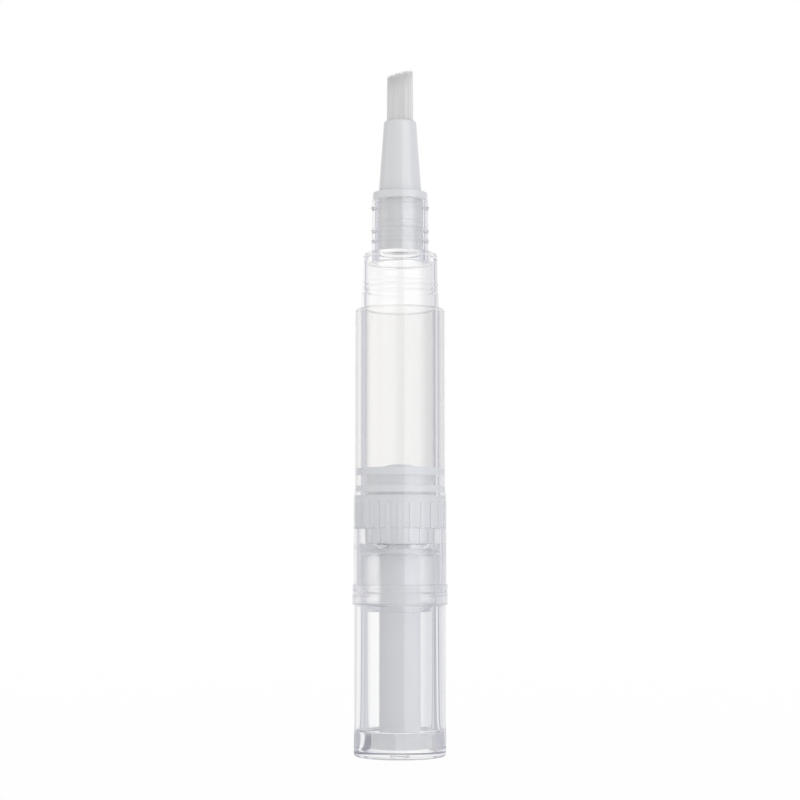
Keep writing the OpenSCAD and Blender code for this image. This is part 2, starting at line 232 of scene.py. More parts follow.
TUFT_SEAT_Z, TIP_Z = low("bristles"), high("bristles")
print("barrel from", round(BARREL_Z, 2), "to", round(SPOUT_TOP_Z, 2), "with its neck at", round(NECK_Z, 2))

# %% [markdown]
# ## The barrel
# The barrel is one long moulding: a wide tail that takes the collar, the grip, the neck that the
# cap clicks onto, and the narrow spout that holds the brush. Its outline runs up the outside and
# down the inside. The nut's ribs bite into the bore, so twenty slots are opened there by
# selecting strips of the bore's faces and pushing them outwards.

# %% Barrel outline and turning
SLOT_STEPS, SLOT_R = 320, 4.88
FLARE_LEN, SEAT_TOP, SEAT_END = 1.7, 2.1, 2.38
GRIP_EDGE, NECK_EDGE, EASE = 0.35, 0.6, 0.07
NECK_BEADS = ((2.7, 0.1, 0.36), (3.45, 0.1, 0.36))
SPOUT_BEADS = ((1.7, 0.12, 0.25), (3.1, 0.12, 0.25), (6.4, 0.14, 0.35))
outside = ([(TAIL_BORE_R, BARREL_Z), (TAIL_R, BARREL_Z), (TAIL_R, FLARE_Z)]
           + [(GRIP_R, FLARE_Z + FLARE_LEN)]
           + arc(GRIP_R - GRIP_EDGE, NECK_Z - GRIP_EDGE, GRIP_EDGE, 0, 90)
           + [(SEAT_R, NECK_Z), (SEAT_R, NECK_Z + SEAT_TOP), (NECK_R, NECK_Z + SEAT_END)]
           + beads(NECK_R, NECK_Z, NECK_BEADS)
           + arc(NECK_R - NECK_EDGE, SHOULDER_Z - NECK_EDGE, NECK_EDGE, 0, 90)
           + [(SPOUT_R, SHOULDER_Z)]
           + beads(SPOUT_R, SHOULDER_Z, SPOUT_BEADS)
           + [(SPOUT_R, SPOUT_TOP_Z)])
SLOT_TOP_Z, SLOT_Z = RIB_TOP_Z + GAP, TAIL_STEP_Z + GAP
inside = [(SPOUT_BORE_R, SPOUT_TOP_Z), (SPOUT_BORE_R, CHAMBER_TOP_Z), (BORE_R, CHAMBER_TOP_Z),
          (BORE_R, NECK_Z), (BORE_R, SLOT_TOP_Z), (BORE_R, SLOT_Z), (TAIL_BORE_R, TAIL_STEP_Z)]
barrel = turned("barrel_shell", eased(outside + inside, EASE, 3), steps=SLOT_STEPS)

# %% Slots and ribs
RIBS, RIB_STEPS = 20, 6


def push_strips(piece, bottom, top, limit, outer, inward, widen=1.0):
    """Pushes strips of a round wall's faces out to another radius, one strip for each rib."""
    pitch, half_strip = 2 * math.pi / RIBS, math.pi * RIB_STEPS / SLOT_STEPS
    strips = []
    for face in piece.data.polygons:
        c = face.center / MM
        r = math.hypot(c.x, c.y)
        turn = math.atan2(c.y, c.x) % pitch
        facing = face.normal.x * c.x + face.normal.y * c.y
        on_wall = r < limit and abs(facing) > 0.5 * r and (facing < 0) == inward
        on_rib = bottom < c.z < top and min(turn, pitch - turn) < half_strip
        strips.append(on_wall and on_rib)
    only(piece)
    bpy.ops.object.mode_set(mode="EDIT")
    bpy.ops.mesh.select_mode(type="FACE")
    bpy.ops.mesh.select_all(action="DESELECT")
    bpy.ops.object.mode_set(mode="OBJECT")
    piece.data.polygons.foreach_set("select", strips)
    bpy.ops.object.mode_set(mode="EDIT")
    bpy.ops.mesh.extrude_region_move(TRANSFORM_OT_translate={"value": (0, 0, 0)})
    bpy.ops.object.mode_set(mode="OBJECT")
    for v in piece.data.vertices:
        if v.select:
            turn = math.atan2(v.co.y, v.co.x)
            middle = round(turn / pitch) * pitch
            turn = middle + (turn - middle) * widen
            v.co.x = outer * MM * math.cos(turn)
            v.co.y = outer * MM * math.sin(turn)
    bpy.ops.object.mode_set(mode="EDIT")
    bpy.ops.mesh.select_all(action="SELECT")
    bpy.ops.mesh.remove_doubles(threshold=MERGE)
    bpy.ops.object.mode_set(mode="OBJECT")
    bpy.ops.object.shade_smooth_by_angle(angle=SMOOTH)
    print(piece.name, "has strips in", sum(strips), "faces")


push_strips(barrel, SLOT_Z, SLOT_TOP_Z, TAIL_BORE_R - 0.2, SLOT_R, inward=True)

# %% [markdown]
# ## The nut
# The nut is pressed so hard into the barrel that no air is left between them. Where a solid
# touches clear plastic like this, the plastic magnifies it until it seems to fill the barrel from
# edge to edge. So the nut is made three thousandths of a millimetre larger than its bore, and its
# ribs are pushed out into the slots in the same way, each a hair wider than its slot. Its lower
# edge hangs just over the click spring, so that no dark slit opens between them.

# %% Nut
TOUCH, NUT_FOOT_Z = 0.003, high("click_spring") + 0.04
PRESSED_R, SKIRT_R, THREAD_R = BORE_R + TOUCH, 3.9, 2.3
THREAD_Z, RIB_Z, HAIR_WIDER = NUT_TOP_Z - 2.2, NUT_Z + 0.4, 1.03
FOOT_EDGE, TOP_EDGE_R, TOP_EDGE_H = 0.2, 0.3, 0.25
nut = turned(
    "nut_body",
    [(SKIRT_R, NUT_FOOT_Z), (PRESSED_R - FOOT_EDGE, NUT_FOOT_Z), (PRESSED_R, NUT_FOOT_Z + FOOT_EDGE),
     (PRESSED_R, RIB_TOP_Z), (PRESSED_R, NUT_TOP_Z - TOP_EDGE_H), (PRESSED_R - TOP_EDGE_R, NUT_TOP_Z),
     (THREAD_R, NUT_TOP_Z), (THREAD_R, THREAD_Z), (SKIRT_R, THREAD_Z)], steps=SLOT_STEPS)
push_strips(nut, RIB_Z, RIB_TOP_Z, TAIL_BORE_R, SLOT_R + TOUCH, inward=False, widen=HAIR_WIDER)

# %% [markdown]
# ## The piston
# The piston wipes the bore with two soft lips, pressed to the wall, so they are magnified too.
# Between them its waist stays clear of the wall. A low dome stands on its top. From below, a
# shallow recess takes the end of the spindle's thread, and a socket over it the spindle's snap head.

# %% Piston
PISTON_Z, PISTON_TOP_Z = low("piston"), high("piston")
PISTON_FOOT_Z, SNAP_Z, SNAP_TOP_Z = PISTON_Z - 0.29, PISTON_Z + 0.95, high("spindle") + 0.1
SNAP_R, SNAP_NECK_R, RECESS_R, WAIST_R = 1.55, 1.1, 2.2, BORE_R - 0.2
FOOT_LIP, TOP_LIP, SLOPE, DOME_H = 0.9, 1.05, 0.3, 0.45
LIP_TOP_Z = PISTON_TOP_Z - DOME_H
DOME = ((3.0, -0.1), (2.5, 0.1), (1.9, 0.32), (1.2, DOME_H))
underside = [(0, SNAP_TOP_Z), (SNAP_R, SNAP_TOP_Z), (SNAP_R, SNAP_Z), (SNAP_NECK_R, SNAP_Z),
             (SNAP_NECK_R, PISTON_Z), (RECESS_R, PISTON_Z), (RECESS_R, PISTON_FOOT_Z)]
lips = [(PRESSED_R - 0.3, PISTON_FOOT_Z), (PRESSED_R, PISTON_Z - 0.04),
        (PRESSED_R, PISTON_Z + FOOT_LIP), (WAIST_R, PISTON_Z + FOOT_LIP + SLOPE),
        (WAIST_R, LIP_TOP_Z - TOP_LIP - SLOPE), (PRESSED_R, LIP_TOP_Z - TOP_LIP),
        (PRESSED_R, LIP_TOP_Z - 0.04), (PRESSED_R - 0.05, LIP_TOP_Z),
        (PRESSED_R - 0.3, LIP_TOP_Z), (PRESSED_R - 0.5, LIP_TOP_Z - 0.25)]
dome = [(r, LIP_TOP_Z + rise) for r, rise in DOME] + [(0, PISTON_TOP_Z)]
piston = turned("piston_body", underside + lips + dome)

# %% [markdown]
# ## The collar
# The collar is a clear plug. Its rim shows between the knob and the barrel, its spigot is
# pressed into the tail, and on top of the spigot stands a crown of twelve teeth. A moulder cores
# such a plug out, so a deep pocket leaves a wall, a thin floor, which the tube passes, and a ledge
# at the top that carries the tube's flange. Two low ridges on the wall show as level lines. The
# crown is turned as a plain ring, and its top edge is then raised step by step into teeth.

# %% Collar
SPIGOT_R, CROWN_IN_R, TUBE_R = 5.63, 4.78, 2.86
POCKET_R, LEDGE_R, POCKET_FOOT_R, COLLAR_FOOT_R = 4.75, 4.1, 4.3, 4.6
TOOTH_H, TEETH, CROWN_PHASE = 0.75, 12, 4
CROWN_ROOT_Z = high("collar") - TOOTH_H
SPIGOT_TOP_Z = CROWN_ROOT_Z - 0.55
COLLAR_BORE_R = TUBE_R + 0.08
COLLAR_FOOT_Z, POCKET_Z = COLLAR_Z - 0.9, COLLAR_Z - 0.5
GROOVE_Z, GROOVE_HALF, GROOVE_DEPTH = COLLAR_Z + 0.62 * (BARREL_Z - COLLAR_Z), 0.15, 0.12
RIDGES = ((0.2, 0), (0.45, 0.05), (0.7, 0), (1.2, 0), (1.45, 0.05), (1.7, 0))
rim = [(COLLAR_BORE_R, COLLAR_FOOT_Z), (COLLAR_FOOT_R, COLLAR_FOOT_Z), (COLLAR_FOOT_R, COLLAR_Z),
       (COLLAR_R, COLLAR_Z), (COLLAR_R, GROOVE_Z - GROOVE_HALF), (COLLAR_R - GROOVE_DEPTH, GROOVE_Z),
       (COLLAR_R, GROOVE_Z + GROOVE_HALF), (COLLAR_R, BARREL_Z), (SPIGOT_R, BARREL_Z),
       (SPIGOT_R, CROWN_ROOT_Z - 0.15)]
crown = [(SPIGOT_R, CROWN_ROOT_Z), (CROWN_IN_R, CROWN_ROOT_Z), (CROWN_IN_R, SPIGOT_TOP_Z),
         (LEDGE_R, SPIGOT_TOP_Z), (LEDGE_R, SPIGOT_TOP_Z - 0.3), (POCKET_R, SPIGOT_TOP_Z - 0.45)]
ridges = [(POCKET_R - rise, BARREL_Z - drop) for drop, rise in RIDGES]
pocket = [(POCKET_R, COLLAR_Z + 0.2), (POCKET_FOOT_R, COLLAR_Z - 0.1), (POCKET_FOOT_R, POCKET_Z),
          (COLLAR_BORE_R, POCKET_Z)]
collar = turned("collar_ring", eased(rim, 0.1, 3) + crown + ridges + pocket, start=CROWN_PHASE)

# %% Crown
CROWN_SMOOTH = math.radians(25)


def raise_teeth(piece, level, height, count, phase):
    """Lifts the top edge of a ring into pointed teeth."""
    for v in piece.data.vertices:
        r = math.hypot(v.co.x, v.co.y) / MM
        if abs(v.co.z / MM - level) < 0.001 and r > CROWN_IN_R - 0.01:
            turn = (math.degrees(math.atan2(v.co.y, v.co.x)) - phase) % (360 / count)
            share = turn * count / 360
            v.co.z += height * MM * (1 - abs(2 * share - 1))


raise_teeth(collar, CROWN_ROOT_Z, TOOTH_H, TEETH, CROWN_PHASE)
only(collar)
bpy.ops.object.shade_smooth_by_angle(angle=CROWN_SMOOTH)
print("the crown has", TEETH, "teeth of", TOOTH_H, "mm")

# %% [markdown]
# ## The knob
# The knob is a clear tube with a thick floor. The hex foot of the drive tube sits in a socket in
# that floor. The socket is cut with a six-sided prism and a Boolean modifier, which is the
# quickest way to put a flat-sided hole into a turned piece. It ends a hair over the underside of
# the foot, so that no air is left between the foot and the clear floor.

# %% Knob
GATE_R, GATE_H, RIM_EDGE, FILLET = 0.9, 0.3, 0.4, 0.3
HEX_R, HEX_TURN, HEX_TOP, HEX_FOOT, PRESS = 2.945, -99, 3.4, 1.1, 0.005
knob = turned(
    "knob_shell",
    eased([(0, GATE_H), (GATE_R, GATE_H), (GATE_R, 0)]
          + arc(KNOB_R - RIM_EDGE, RIM_EDGE, RIM_EDGE, -90, 0)
          + [(KNOB_R, KNOB_TOP), (KNOB_BORE_R, KNOB_TOP)]
          + arc(KNOB_BORE_R - FILLET, HEX_TOP + FILLET, FILLET, 0, -90)
          + [(0, HEX_TOP)], EASE, 3))


def cut_hex(piece, radius, bottom, top, turn):
    """Cuts a six-sided hole into a piece."""
    deselect()
    bpy.ops.mesh.primitive_cylinder_add(
        vertices=6, radius=radius * MM, depth=(top - bottom) * MM,
        location=(0, 0, (top + bottom) / 2 * MM), rotation=(0, 0, math.radians(turn + 90)))
    cutter = bpy.context.object
    only(piece)
    hole = piece.modifiers.new("socket", "BOOLEAN")
    hole.operation, hole.solver, hole.object = "DIFFERENCE", "EXACT", cutter
    bpy.ops.object.modifier_apply(modifier=hole.name)
    bpy.data.objects.remove(cutter)
    bpy.ops.object.shade_smooth_by_angle(angle=SMOOTH)
    print(piece.name, "has a socket from", round(bottom, 3), "mm up")


cut_hex(knob, HEX_R, HEX_FOOT + PRESS, HEX_TOP + 1, HEX_TURN)

# %% [markdown]
# ## The nozzle
# The nozzle is the grey cone that holds the tuft. Below its flange a plug with four sealing
# rings fills the spout, and a channel runs up through it to the tuft's hole.

# %% Nozzle
PLUG_R, PLUG_Z, CHANNEL_R = 3.06, low("nozzle"), 1.62
FLANGE_R, CONE_R, CONE_TIP_R, TUFT_HOLE_R = 3.85, 3.05, 2.3, 1.9
TIP_EDGE, MOUTH_EDGE = 0.3, 0.05
PLUG_RINGS = [(up, 0.08, 0.22) for up in (1.4, 2.3, 3.2, 4.1)]
plug = [(CHANNEL_R, PLUG_Z), (PLUG_R, PLUG_Z)] + beads(PLUG_R, PLUG_Z, PLUG_RINGS)
flange = [(PLUG_R, SPOUT_TOP_Z), (FLANGE_R, SPOUT_TOP_Z), (FLANGE_R, CONE_Z), (CONE_R, CONE_Z)]
tip = arc(CONE_TIP_R - TIP_EDGE, CONE_TOP_Z - TIP_EDGE, TIP_EDGE, 5, 90)
mouth = [(TUFT_HOLE_R + MOUTH_EDGE, CONE_TOP_Z), (TUFT_HOLE_R, CONE_TOP_Z - MOUTH_EDGE),
         (TUFT_HOLE_R, TUFT_SEAT_Z), (CHANNEL_R, TUFT_SEAT_Z)]
nozzle = turned("nozzle_body", eased(plug + flange, 0.12, 4) + tip + mouth)

# %% [markdown]
# ## The tuft
# A brush tuft is hundreds of fine nylon strands in a round hole, cut on a slant, with ends that
# never lie quite level. One strand is modelled with a slight bend and a tapered end. It is then
# copied to the places of a hexagonal grid and of two rings round it, each copy turned, leaned and
# shortened a little by its own amount. The random numbers start from a fixed seed, so every run
# gives the same tuft.

# %% One strand
STRAND_R, STRAND_LEN, STRAND_BEND = 0.06, TIP_Z - TUFT_SEAT_Z - 1.0, 0.05
STRETCHES = ((0.45, 1), (0.3, 1), (0.1, 0.95), (0.09, 0.8), (0.06, 0.5))


def one_strand():
    """A six-sided strand that stands on the origin, with a tapered tip."""
    deselect()
    bpy.ops.mesh.primitive_circle_add(vertices=6, radius=STRAND_R * MM, fill_type="NGON",
                                      location=(0, 0, 0))
    strand = bpy.context.object
    bpy.ops.object.mode_set(mode="EDIT")
    bpy.ops.mesh.select_all(action="SELECT")
    for share, width in STRETCHES:
        bpy.ops.mesh.extrude_region_move(
            TRANSFORM_OT_translate={"value": (0, 0, STRAND_LEN * share * MM)})
        bpy.ops.transform.resize(value=(width, width, 1))
    bpy.ops.mesh.select_all(action="SELECT")
    bpy.ops.mesh.normals_make_consistent(inside=False)
    bpy.ops.object.mode_set(mode="OBJECT")
    for v in strand.data.vertices:
        v.co.x += STRAND_BEND * MM * (v.co.z / (STRAND_LEN * MM)) ** 2
    bpy.ops.object.shade_smooth()
    return strand


strand = one_strand()

# %% Places of the strands
rng = random.Random(7)
TUFT_R, PITCH, JITTER = 1.88, 0.165, 0.02
ROW_PITCH = PITCH * 0.866
RING_R, RING_GAP, RING_STRANDS, RING_JITTER = TUFT_R - STRAND_R, 0.11, 93, 0.25
rows = int(TUFT_R / ROW_PITCH) + 1
places = []
for row in range(-rows, rows + 1):
    for col in range(-rows - 3, rows + 4):
        x = (col + (0 if row % 2 == 0 else 0.5)) * PITCH + rng.uniform(-JITTER, JITTER)
        y = row * ROW_PITCH + rng.uniform(-JITTER, JITTER)
        if math.hypot(x, y) < RING_R - 2 * RING_GAP:
            places.append((x, y))
for ring_r, count in ((RING_R, RING_STRANDS), (RING_R - RING_GAP, RING_STRANDS - 6)):
    for i in range(count):
        turn = 2 * math.pi * (i + rng.uniform(-RING_JITTER, RING_JITTER)) / count
        places.append((ring_r * math.cos(turn), ring_r * math.sin(turn)))
print("the tuft has", len(places), "places")

# %% The tuft from its strands
SLANT, TIP_DROP, UNEVEN, ROOT_Z = math.radians(13.5), 0.05, 0.6, TUFT_SEAT_Z + 0.3
MOST_LEAN, EDGE_BAND = 0.006, 0.2
copies = []
for x, y in places:
    r = math.hypot(x, y)
    top = TIP_Z - TIP_DROP - (TUFT_R - x) * math.tan(SLANT) - UNEVEN * rng.random() ** 1.4
    copy = strand.copy()
    copy.data = strand.data.copy()
    bpy.context.scene.collection.objects.link(copy)
    lean = MOST_LEAN * (1 - r / TUFT_R)
    lean_x, lean_y = rng.uniform(-lean, lean), rng.uniform(-lean, lean)
    inner = r < TUFT_R - EDGE_BAND
    turn = rng.uniform(0, 2 * math.pi) if inner else math.atan2(y, x) + math.pi
    copy.scale = (1, 1, (top - ROOT_Z) / STRAND_LEN)
    copy.rotation_euler = (lean_x, lean_y, turn)
    copy.location = Vector((x, y, ROOT_Z)) * MM
    copies.append(copy)
bpy.data.objects.remove(strand)
deselect()
for copy in copies:
    copy.select_set(True)
bpy.context.view_layer.objects.active = copies[0]
bpy.ops.object.transform_apply(location=True, rotation=True, scale=True)
bpy.ops.object.join()
tuft = bpy.context.object
tuft.name = tuft.data.name = "brush_tuft"
bpy.context.scene.cursor.location = (0, 0, 0)
bpy.ops.object.origin_set(type="ORIGIN_CURSOR")
print("the tuft has", len(copies), "strands and", len(tuft.data.polygons), "faces")

# %% [markdown]
# The strands are rooted in a small disc, as the real ones are fused together at their foot.
# Joined to them, it stays one piece with the tuft.

# %% Backing disc of the tuft
DISC_IN_R, DISC_TOP_Z = 0.5, TUFT_SEAT_Z + 1.35
disc = [(DISC_IN_R, TUFT_SEAT_Z), (TUFT_R, TUFT_SEAT_Z), (TUFT_R, DISC_TOP_Z), (DISC_IN_R, DISC_TOP_Z)]
backing = turned("tuft_backing", eased(disc, 0.1, 3), steps=STEPS // 2)
only(tuft)
backing.select_set(True)
bpy.ops.object.join()
print("with its disc the tuft has", len(tuft.data.polygons), "faces")

# %% [markdown]
# ## Finishes
# Plastic differs by its haze, its gloss and the faint marks of its mould. Two small node groups
# carry these marks into every material. The first gives fine flow lines that run up the piece,
# and the second gives a fine grain. Each has its own strength in each material.

# %% Node helpers
def link(tree, a, b):
    """Joins an output socket to an input socket."""
    tree.links.new(a, b)


def math_node(tree, operation, *values):
    """A Math node whose inputs are sockets or numbers."""
    node = tree.nodes.new("ShaderNodeMath")
    node.operation = operation
    for socket, value in zip(node.inputs, values):
        if isinstance(value, (int, float)):
            socket.default_value = value
        else:
            link(tree, value, socket)
    return node.outputs[0]


def mapped(tree, value, start, end, low_value, high_value):
    """A value moved from one range to another."""
    node = tree.nodes.new("ShaderNodeMapRange")
    for name, number in (("From Min", start), ("From Max", end),
                         ("To Min", low_value), ("To Max", high_value)):
        node.inputs[name].default_value = number
    link(tree, value, node.inputs["Value"])
    return node.outputs["Result"]


def mixed(tree, share, first, second):
    """A mix of two colours, each a socket or a value."""
    node = tree.nodes.new("ShaderNodeMix")
    node.data_type = "RGBA"
    link(tree, share, node.inputs["Factor"])
    for socket, value in ((node.inputs[6], first), (node.inputs[7], second)):
        if isinstance(value, tuple):
            socket.default_value = (*value, 1)
        else:
            link(tree, value, socket)
    return node.outputs[2]


def noise(tree, place, scale, detail):
    """The grey of a Noise Texture, from the sockets of its place and its scale."""
    node = tree.nodes.new("ShaderNodeTexNoise")
    node.inputs["Detail"].default_value = detail
    link(tree, place, node.inputs["Vector"])
    link(tree, scale, node.inputs["Scale"])
    return node.outputs["Fac"]


def group_sockets(group, inputs, outputs):
    """Names the sockets of a node group, with the defaults of its inputs."""
    for name, kind, value in inputs:
        socket = group.interface.new_socket(name, in_out="INPUT", socket_type=kind)
        socket.default_value = value
    for name, kind in outputs:
        group.interface.new_socket(name, in_out="OUTPUT", socket_type=kind)
    return group.nodes.new("NodeGroupInput"), group.nodes.new("NodeGroupOutput")


def placed(tree, group, *values):
    """A node group placed in a material, with its own values by name."""
    node = tree.nodes.new("ShaderNodeGroup")
    node.node_tree = group
    for name, value in values:
        node.inputs[name].default_value = value
    return node


# %% Flow lines and grain
STREAK_SQUEEZE, STREAK_FROM, STREAK_TO = 0.03, 0.35, 0.7


def flow_lines_group():
    """Lines that run up a moulding, as a colour and a height."""
    group = bpy.data.node_groups.new("flow_lines", "ShaderNodeTree")
    start, end = group_sockets(
        group,
        [("Colour", "NodeSocketColor", (0.8, 0.8, 0.8, 1)),
         ("Streak Colour", "NodeSocketColor", (0.7, 0.7, 0.72, 1)),
         ("Strength", "NodeSocketFloat", 0.3), ("Fineness", "NodeSocketFloat", 900.0)],
        [("Colour", "NodeSocketColor"), ("Height", "NodeSocketFloat")])
    place = group.nodes.new("ShaderNodeTexCoord")
    squeeze = group.nodes.new("ShaderNodeMapping")
    squeeze.inputs["Scale"].default_value = (1, 1, STREAK_SQUEEZE)
    link(group, place.outputs["Object"], squeeze.inputs["Vector"])
    grey = noise(group, squeeze.outputs["Vector"], start.outputs["Fineness"], 3)
    amount = math_node(group, "MULTIPLY", mapped(group, grey, STREAK_FROM, STREAK_TO, 0, 1),
                       start.outputs["Strength"])
    colour = mixed(group, amount, start.outputs["Colour"], start.outputs["Streak Colour"])
    link(group, colour, end.inputs["Colour"])
    link(group, grey, end.inputs["Height"])
    return group


def grain_group():
    """A fine even grain, as a roughness."""
    group = bpy.data.node_groups.new("mould_grain", "ShaderNodeTree")
    start, end = group_sockets(
        group,
        [("Roughness", "NodeSocketFloat", 0.3), ("Spread", "NodeSocketFloat", 0.1),
         ("Fineness", "NodeSocketFloat", 4000.0)],
        [("Roughness", "NodeSocketFloat")])
    place = group.nodes.new("ShaderNodeTexCoord")
    grey = noise(group, place.outputs["Object"], start.outputs["Fineness"], 4)
    around_zero = math_node(group, "SUBTRACT", grey, 0.5)
    link(group, math_node(group, "MULTIPLY_ADD", around_zero, start.outputs["Spread"],
                          start.outputs["Roughness"]), end.inputs["Roughness"])
    return group


FLOW, GRAIN = flow_lines_group(), grain_group()
print("made the groups", FLOW.name, "and", GRAIN.name)

# %% [markdown]
# Light has to get into a closed clear shell to light what it holds. Bent through the shell it
# would arrive grainy and too dark, so rays that carry light pass the shell straight, and only
# what the eye looks at, or sees mirrored, is bent. The same switch opens the shell to a ray that
# has been mirrored twice or bent ten times, because a ray may only bounce so often before it is
# given up as black, and real clear edges are never black here.

# %% A clear shell
MOST_BOUNCES = (("Glossy Depth", 1.5), ("Transmission Depth", 9.5), ("Ray Depth", 9.5))
PASSED = 0.98


def let_light_in(tree, shader, tint):
    """Mixes a clear shader with a plain see-through one for the rays named above."""
    path = tree.nodes.new("ShaderNodeLightPath")
    way = math_node(tree, "MAXIMUM", path.outputs["Is Shadow Ray"],
                    path.outputs["Is Diffuse Ray"])
    for depth, most in MOST_BOUNCES:
        way = math_node(tree, "MAXIMUM", way,
                        math_node(tree, "GREATER_THAN", path.outputs[depth], most))
    straight = tree.nodes.new("ShaderNodeBsdfTransparent")
    straight.inputs["Color"].default_value = (*tint, 1)
    blend = tree.nodes.new("ShaderNodeMixShader")
    out = tree.nodes["Material Output"]
    link(tree, way, blend.inputs[0])
    link(tree, shader.outputs[0], blend.inputs[1])
    link(tree, straight.outputs[0], blend.inputs[2])
    link(tree, blend.outputs[0], out.inputs["Surface"])


# %% A plastic
PLASTIC_IOR = 1.49
RELIEF = 0.01 * MM


def plastic(name, colour, streak, strength, roughness, spread=0.1, fineness=900,
            transmission=0.0, bump=0.1, coat=0.0):
    """A moulded plastic with flow lines in its colour and grain in its gloss."""
    material = bpy.data.materials.new(name)
    material.use_nodes = True
    tree = material.node_tree
    shader = tree.nodes["Principled BSDF"]
    lines = placed(tree, FLOW, ("Colour", (*colour, 1)), ("Streak Colour", (*streak, 1)),
                   ("Strength", strength), ("Fineness", fineness))
    grain = placed(tree, GRAIN, ("Roughness", roughness), ("Spread", spread))
    relief = tree.nodes.new("ShaderNodeBump")
    relief.inputs["Strength"].default_value = bump
    relief.inputs["Distance"].default_value = RELIEF
    link(tree, lines.outputs["Colour"], shader.inputs["Base Color"])
    link(tree, grain.outputs["Roughness"], shader.inputs["Roughness"])
    link(tree, lines.outputs["Height"], relief.inputs["Height"])
    link(tree, relief.outputs["Normal"], shader.inputs["Normal"])
    shader.inputs["IOR"].default_value = PLASTIC_IOR
    shader.inputs["Transmission Weight"].default_value = transmission
    shader.inputs["Coat Weight"].default_value = coat
    if transmission > 0:
        let_light_in(tree, shader, [c * PASSED for c in colour])
    print("made", name)
    return material


# %% The pen's plastics
clear = plastic("clear_knob_plastic", (0.96, 0.963, 0.97), (0.94, 0.945, 0.955), 0.3,
                roughness=0.01, spread=0.01, transmission=1.0, bump=0.003)
clear_neck = plastic("clear_neck_plastic", (0.99, 0.99, 0.99), (0.97, 0.97, 0.975), 0.3,
                     roughness=0.015, spread=0.01, transmission=1.0, bump=0.003)
milky = plastic("milky_grip_plastic", (0.95, 0.948, 0.94), (0.93, 0.928, 0.92), 0.5,
                roughness=0.09, spread=0.03, transmission=0.98, bump=0.001, fineness=700)
clear_tail = plastic("clear_tail_plastic", (0.98, 0.981, 0.984), (0.96, 0.961, 0.966), 0.4,
                     roughness=0.1, spread=0.03, transmission=0.99, bump=0.001)
collar_plastic = plastic("collar_plastic", (0.98, 0.982, 0.99), (0.96, 0.962, 0.97), 0.4,
                         roughness=0.21, spread=0.04, transmission=0.98, bump=0.001)
nut_plastic = plastic("nut_plastic", (0.75, 0.763, 0.79), (0.68, 0.694, 0.73), 0.6,
                      roughness=0.4)
tube_plastic = plastic("drive_tube_plastic", (0.76, 0.765, 0.78), (0.71, 0.715, 0.74), 0.4,
                       roughness=0.4)
piston_plastic = plastic("piston_plastic", (0.77, 0.79, 0.835), (0.71, 0.735, 0.79), 0.4,
                         roughness=0.4)
spindle_plastic = plastic("spindle_plastic", (0.76, 0.76, 0.78), (0.7, 0.7, 0.73), 0.4,
                          roughness=0.4)
spring_plastic = plastic("click_spring_plastic", (0.72, 0.73, 0.76), (0.66, 0.67, 0.71), 0.4,
                         roughness=0.35)
feed_plastic = plastic("feed_tube_plastic", (0.85, 0.85, 0.87), (0.8, 0.8, 0.83), 0.3,
                       roughness=0.3)
nozzle_plastic = plastic("nozzle_plastic", (0.71, 0.716, 0.732), (0.67, 0.676, 0.696), 0.4,
                         roughness=0.42, bump=0.06, coat=1.0)
# The plug is the cone's plastic; its darker colour is painted shade for the shade inside the spout
plug_plastic = plastic("plug_plastic_painted_shade", (0.67, 0.675, 0.695), (0.62, 0.625, 0.65), 0.5,
                       roughness=0.3, bump=0.06, coat=1.0)
nylon = plastic("tuft_nylon", (0.83, 0.83, 0.825), (0.72, 0.72, 0.725), 0.7, roughness=0.4,
                fineness=5000)

# %% [markdown]
# ## Dressing the pieces
# Each new piece rides on the body that its solid belongs to, and stands for that solid. The four solids
# that stay only get their plastic. The barrel has three finishes, polished at the neck and the spout,
# milky along the grip, and nearly clear round the nut. The nozzle's plug is the cone's plastic, glossier,
# and darker by painted shade for the shade inside the spout.

# %% Dress
HAIR = 0.02


def clothe(piece, material):
    """Gives a piece one plastic in place of any that it had."""
    piece.data.materials.clear()
    piece.data.materials.append(material)


def dress(piece, material, body, node):
    """Gives a new piece its plastic, its body and the solid it stands for."""
    clothe(piece, material)
    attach(piece, body)
    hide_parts(node)


dress(barrel, milky, "barrel", "barrel")
barrel.data.materials.append(clear_neck)
barrel.data.materials.append(clear_tail)
for face in barrel.data.polygons:
    if face.center.z > (NECK_Z - HAIR) * MM:
        face.material_index = 1
    elif face.center.z < FLARE_Z * MM:
        face.material_index = 2
dress(collar, collar_plastic, "barrel", "collar")
dress(knob, clear, "knob", "knob")
dress(nozzle, nozzle_plastic, "brush_head", "nozzle")
nozzle.data.materials.append(plug_plastic)
for face in nozzle.data.polygons:
    face.material_index = 1 if face.center.z < (SPOUT_TOP_Z - HAIR) * MM else 0
dress(tuft, nylon, "brush_head", "bristles")
dress(nut, nut_plastic, "barrel", "thread_nut")
dress(piston, piston_plastic, "piston", "piston")
for name, material in (("drive_tube", tube_plastic), ("spindle", spindle_plastic),
                       ("click_spring", spring_plastic), ("feed_tube", feed_plastic)):
    clothe(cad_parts[name], material)
print("the barrel has", len(barrel.data.materials), "finishes, the nozzle", len(nozzle.data.materials))

# %% [markdown]
# ## The studio
# Clear plastic shows what is around it, so the studio is as much a part of its look as the
# material. A lit white wall stands behind the pen. Beside it, to the left and the right, the wall
# gives way to cool grey, then to the edge of a soft light. The curved walls of the pen bend these
# narrow bands into the thin grey-violet lines along its clear edges.

# %% Floor
FLOOR_SIZE = 6
deselect()
bpy.ops.mesh.primitive_plane_add(size=FLOOR_SIZE, location=(0, 0, 0))
floor = bpy.context.object
floor.name = floor.data.name = "studio_floor"
floor_material = bpy.data.materials.new("studio_floor_white")
floor_material.use_nodes = True
tree = floor_material.node_tree
tree.nodes.clear()

# %% [markdown]
# The light round the pen depends on the direction alone: the angle from the left over the back to
# the right. It is kept in a node group, because the wall and the floor both show it to a ray that
# comes through the plastic.

